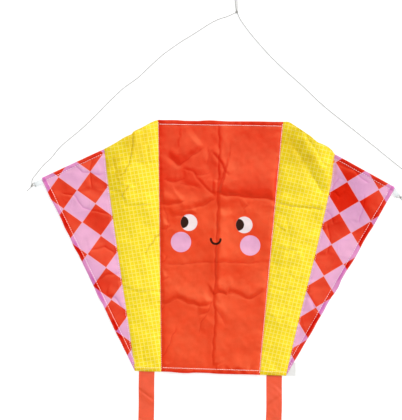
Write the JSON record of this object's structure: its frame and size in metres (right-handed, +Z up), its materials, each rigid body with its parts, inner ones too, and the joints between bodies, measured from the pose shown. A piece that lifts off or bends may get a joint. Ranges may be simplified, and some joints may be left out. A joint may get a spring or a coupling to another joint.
{
  "type": "frameless pocket kite",
  "caption": "Frameless sled kite laid flat: centre panel, two air cells, two triangular side wings, two ribbon tails and a two-legged bridle with a tow loop.",
  "frame": {"origin": "middle of the centre panel's underside, where the flat kite rests on the ground", "axes": "+Y from the trailing edge to the leading edge, +Z up out of the printed face, +X to the right seen from above"},
  "size_m": [0.6252, 1.1253, 0.007],
  "materials": {
    "red_taffeta": "plain-woven polyester taffeta, slight sheen",
    "yellow_taffeta": "plain-woven polyester taffeta printed with a fine pale grid",
    "checker_taffeta": "plain-woven polyester taffeta printed with red and pink squares",
    "tail_tape": "red taffeta ribbon, slight sheen",
    "thread": "white spun polyester sewing thread",
    "white_tape": "white translucent woven tape",
    "line": "pale grey twisted polyester line, matt",
    "label": "blank white satin label"
  },
  "bodies": {
    "centre": {"centre_panel": "red_taffeta", "leading_edge_thread": "thread", "trailing_edge_thread": "thread", "left_inner_seam_thread": "thread", "right_inner_seam_thread": "thread"},
    "left_cell_body": {"left_cell_back": "yellow_taffeta", "left_cell_face": "yellow_taffeta", "left_mouth_thread": "thread", "left_cell_hem_thread": "thread"},
    "right_cell_body": {"right_cell_back": "yellow_taffeta", "right_cell_face": "yellow_taffeta", "right_mouth_thread": "thread", "right_cell_hem_thread": "thread"},
    "left_wing_body": {"left_wing": "checker_taffeta", "left_outer_seam_thread": "thread", "left_wing_hem_thread": "thread", "left_tip_tab": "white_tape", "left_tip_bartack": "thread", "left_tie_knot": "line"},
    "right_wing_body": {"right_wing": "checker_taffeta", "right_outer_seam_thread": "thread", "right_wing_hem_thread": "thread", "right_tip_tab": "white_tape", "right_tip_bartack": "thread", "right_tie_knot": "line", "care_label": "label", "care_label_thread": "thread"},
    "left_bridle_body": {"left_bridle_leg": "line", "bridle_knot": "line"},
    "right_bridle_end_body": {"right_bridle_end": "line"},
    "right_bridle_body": {"right_bridle_leg": "line"},
    "tow_loop_body": {"tow_loop": "line"},
    "left_tail_body": {"left_tail": "tail_tape"},
    "right_tail_body": {"right_tail": "tail_tape"}
  },
  "joints": [
    {"name": "left_cell_fold", "type": "hinge", "parent": "centre", "child": "left_cell_body", "pos_m": [-0.1, 0.202, 0.00075], "axis": [-0.0519, 0.9987, 0], "range_deg": [0, 30]},
    {"name": "right_cell_fold", "type": "hinge", "parent": "centre", "child": "right_cell_body", "pos_m": [0.1, 0.202, 0.00075], "axis": [-0.0519, -0.9987, 0], "range_deg": [0, 30]},
    {"name": "left_wing_fold", "type": "hinge", "parent": "left_cell_body", "child": "left_wing_body", "pos_m": [-0.1845, 0.153, 0.00075], "axis": [-0.1761, 0.9844, 0], "range_deg": [0, 60]},
    {"name": "right_wing_fold", "type": "hinge", "parent": "right_cell_body", "child": "right_wing_body", "pos_m": [0.1845, 0.153, 0.00075], "axis": [-0.1761, -0.9844, 0], "range_deg": [0, 60]},
    {"name": "left_bridle_swing", "type": "hinge", "parent": "left_wing_body", "child": "left_bridle_body", "pos_m": [-0.2953, 0.0886, 0.0015], "axis": [0.3711, -0.9279, 0.0357], "range_deg": [0, 152.42]},
    {"name": "right_tie_swing", "type": "hinge", "parent": "right_wing_body", "child": "right_bridle_end_body", "pos_m": [0.2953, 0.0886, 0.0015], "axis": [0.3126, 0.1043, -0.9441], "range_deg": [0, 23.16]},
    {"name": "right_bridle_straighten", "type": "hinge", "parent": "right_bridle_end_body", "child": "right_bridle_body", "pos_m": [0.3225, 0.113, 0.0015], "axis": [0.1405, 0.9825, 0.1226], "range_deg": [0, 156.95]},
    {"name": "tow_loop_swing", "type": "hinge", "parent": "left_bridle_body", "child": "tow_loop_body", "pos_m": [0.024, 0.377, 0.0015], "axis": [0.4695, 0.047, -0.8817], "range_deg": [0, 48]},
    {"name": "left_tail_swing", "type": "hinge", "parent": "left_cell_body", "child": "left_tail_body", "pos_m": [-0.102, -0.202, 0.0015], "axis": [-1, 0, 0], "range_deg": [0, 160]},
    {"name": "right_tail_swing", "type": "hinge", "parent": "right_cell_body", "child": "right_tail_body", "pos_m": [0.102, -0.202, 0.0015], "axis": [-1, 0, 0], "range_deg": [0, 160]}
  ],
  "couplings": [
    {"joint": "right_cell_fold", "follows": "left_cell_fold", "ratio": 1},
    {"joint": "left_wing_fold", "follows": "left_cell_fold", "ratio": 2},
    {"joint": "right_wing_fold", "follows": "left_cell_fold", "ratio": 2},
    {"joint": "left_bridle_swing", "follows": "left_cell_fold", "ratio": 5.0805},
    {"joint": "right_tie_swing", "follows": "left_cell_fold", "ratio": 0.77167},
    {"joint": "right_bridle_straighten", "follows": "left_cell_fold", "ratio": 5.2313}
  ]
}
